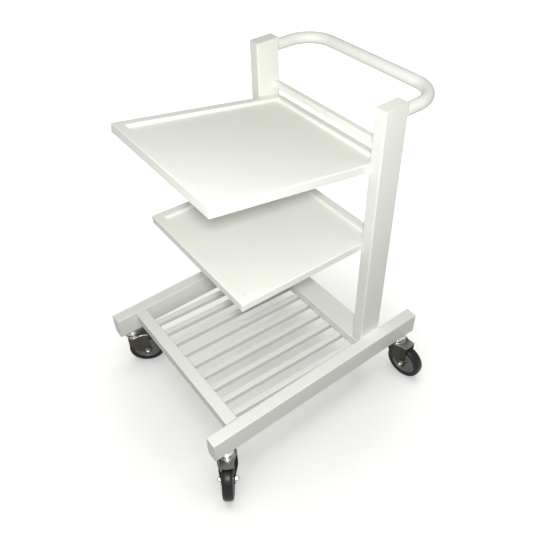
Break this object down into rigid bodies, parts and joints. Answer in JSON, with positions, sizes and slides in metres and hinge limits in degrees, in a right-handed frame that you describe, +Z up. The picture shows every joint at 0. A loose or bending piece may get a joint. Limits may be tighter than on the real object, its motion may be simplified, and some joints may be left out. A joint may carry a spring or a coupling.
{
  "type": "diathermy trolley",
  "caption": "Painted steel apparatus trolley with a tilted tray shelf above a nearly level one, a slatted base rack, a rear push handle and swivelling castors.",
  "frame": {"origin": "on the floor, under the middle of the overall box", "axes": "+Z up; -Y is the front, where the top shelf's raised edge is; the push handle is at +Y; +X is the right side of the trolley seen from the front"},
  "size_m": [0.7836, 0.833, 1.021],
  "materials": {
    "powder_coat": "smooth semi-gloss ivory powder coat",
    "zinc": "bright zinc plate",
    "fork_steel": "zinc-plated pressed steel, reflecting a dark room",
    "wheel_centre": "moulded, fine grain",
    "tyre": "smooth black rubber"
  },
  "bodies": {
    "frame": {"castor_front_left_race": "zinc", "castor_front_left_stem": "zinc", "castor_front_right_race": "zinc", "castor_front_right_stem": "zinc", "castor_rear_left_race": "zinc", "castor_rear_left_stem": "zinc", "castor_rear_right_race": "zinc", "castor_rear_right_stem": "zinc", "front_crossbar": "powder_coat", "lower_shelf_frame": "powder_coat", "lower_shelf_tray": "powder_coat", "post_left": "powder_coat", "post_plate_left": "powder_coat", "post_plate_right": "powder_coat", "post_right": "powder_coat", "push_handle": "powder_coat", "rail_left": "powder_coat", "rail_plate_front_left": "powder_coat", "rail_plate_front_right": "powder_coat", "rail_plate_rear_left": "powder_coat", "rail_plate_rear_right": "powder_coat", "rail_right": "powder_coat", "rear_crossmember": "powder_coat", "slat_1": "powder_coat", "slat_2": "powder_coat", "slat_3": "powder_coat", "slat_4": "powder_coat", "slat_5": "powder_coat", "slat_6": "powder_coat", "slat_7": "powder_coat", "slat_8": "powder_coat", "slat_9": "powder_coat", "stem_nuts": "zinc", "tie_bar": "powder_coat", "top_shelf_frame": "powder_coat", "top_shelf_tray": "powder_coat"},
    "front_left_swivel": {"castor_front_left_fork": "fork_steel", "castor_front_left_axle": "zinc", "castor_front_left_axle_nuts": "zinc", "castor_front_left_sleeve": "zinc"},
    "front_left_wheel": {"castor_front_left_wheel_centre": "wheel_centre", "castor_front_left_tyre": "tyre"},
    "front_right_swivel": {"castor_front_right_fork": "fork_steel", "castor_front_right_axle": "zinc", "castor_front_right_axle_nuts": "zinc", "castor_front_right_sleeve": "zinc"},
    "front_right_wheel": {"castor_front_right_wheel_centre": "wheel_centre", "castor_front_right_tyre": "tyre"},
    "rear_left_swivel": {"castor_rear_left_fork": "fork_steel", "castor_rear_left_axle": "zinc", "castor_rear_left_axle_nuts": "zinc", "castor_rear_left_sleeve": "zinc"},
    "rear_left_wheel": {"castor_rear_left_wheel_centre": "wheel_centre", "castor_rear_left_tyre": "tyre"},
    "rear_right_swivel": {"castor_rear_right_fork": "fork_steel", "castor_rear_right_axle": "zinc", "castor_rear_right_axle_nuts": "zinc", "castor_rear_right_sleeve": "zinc"},
    "rear_right_wheel": {"castor_rear_right_wheel_centre": "wheel_centre", "castor_rear_right_tyre": "tyre"}
  },
  "joints": [
    {"name": "front_left_turn", "type": "hinge", "parent": "frame", "child": "front_left_swivel", "pos_m": [-0.289, -0.34847, 0.14], "axis": [0, 0, 1], "continuous": true},
    {"name": "front_left_roll", "type": "hinge", "parent": "front_left_swivel", "child": "front_left_wheel", "pos_m": [-0.27072, -0.31289, 0.0625], "axis": [-0.8894, 0.4571, 0], "continuous": true},
    {"name": "front_right_turn", "type": "hinge", "parent": "frame", "child": "front_right_swivel", "pos_m": [0.289, -0.34847, 0.14], "axis": [0, 0, 1], "continuous": true},
    {"name": "front_right_roll", "type": "hinge", "parent": "front_right_swivel", "child": "front_right_wheel", "pos_m": [0.32204, -0.37101, 0.0625], "axis": [0.5635, 0.8261, 0], "continuous": true},
    {"name": "rear_left_turn", "type": "hinge", "parent": "frame", "child": "rear_left_swivel", "pos_m": [-0.289, 0.34553, 0.14], "axis": [0, 0, 1], "continuous": true},
    {"name": "rear_left_roll", "type": "hinge", "parent": "rear_left_swivel", "child": "rear_left_wheel", "pos_m": [-0.32877, 0.34985, 0.0625], "axis": [-0.108, -0.9942, 0], "continuous": true},
    {"name": "rear_right_turn", "type": "hinge", "parent": "frame", "child": "rear_right_swivel", "pos_m": [0.289, 0.34553, 0.14], "axis": [0, 0, 1], "continuous": true},
    {"name": "rear_right_roll", "type": "hinge", "parent": "rear_right_swivel", "child": "rear_right_wheel", "pos_m": [0.32877, 0.34985, 0.0625], "axis": [-0.108, 0.9942, 0], "continuous": true}
  ]
}
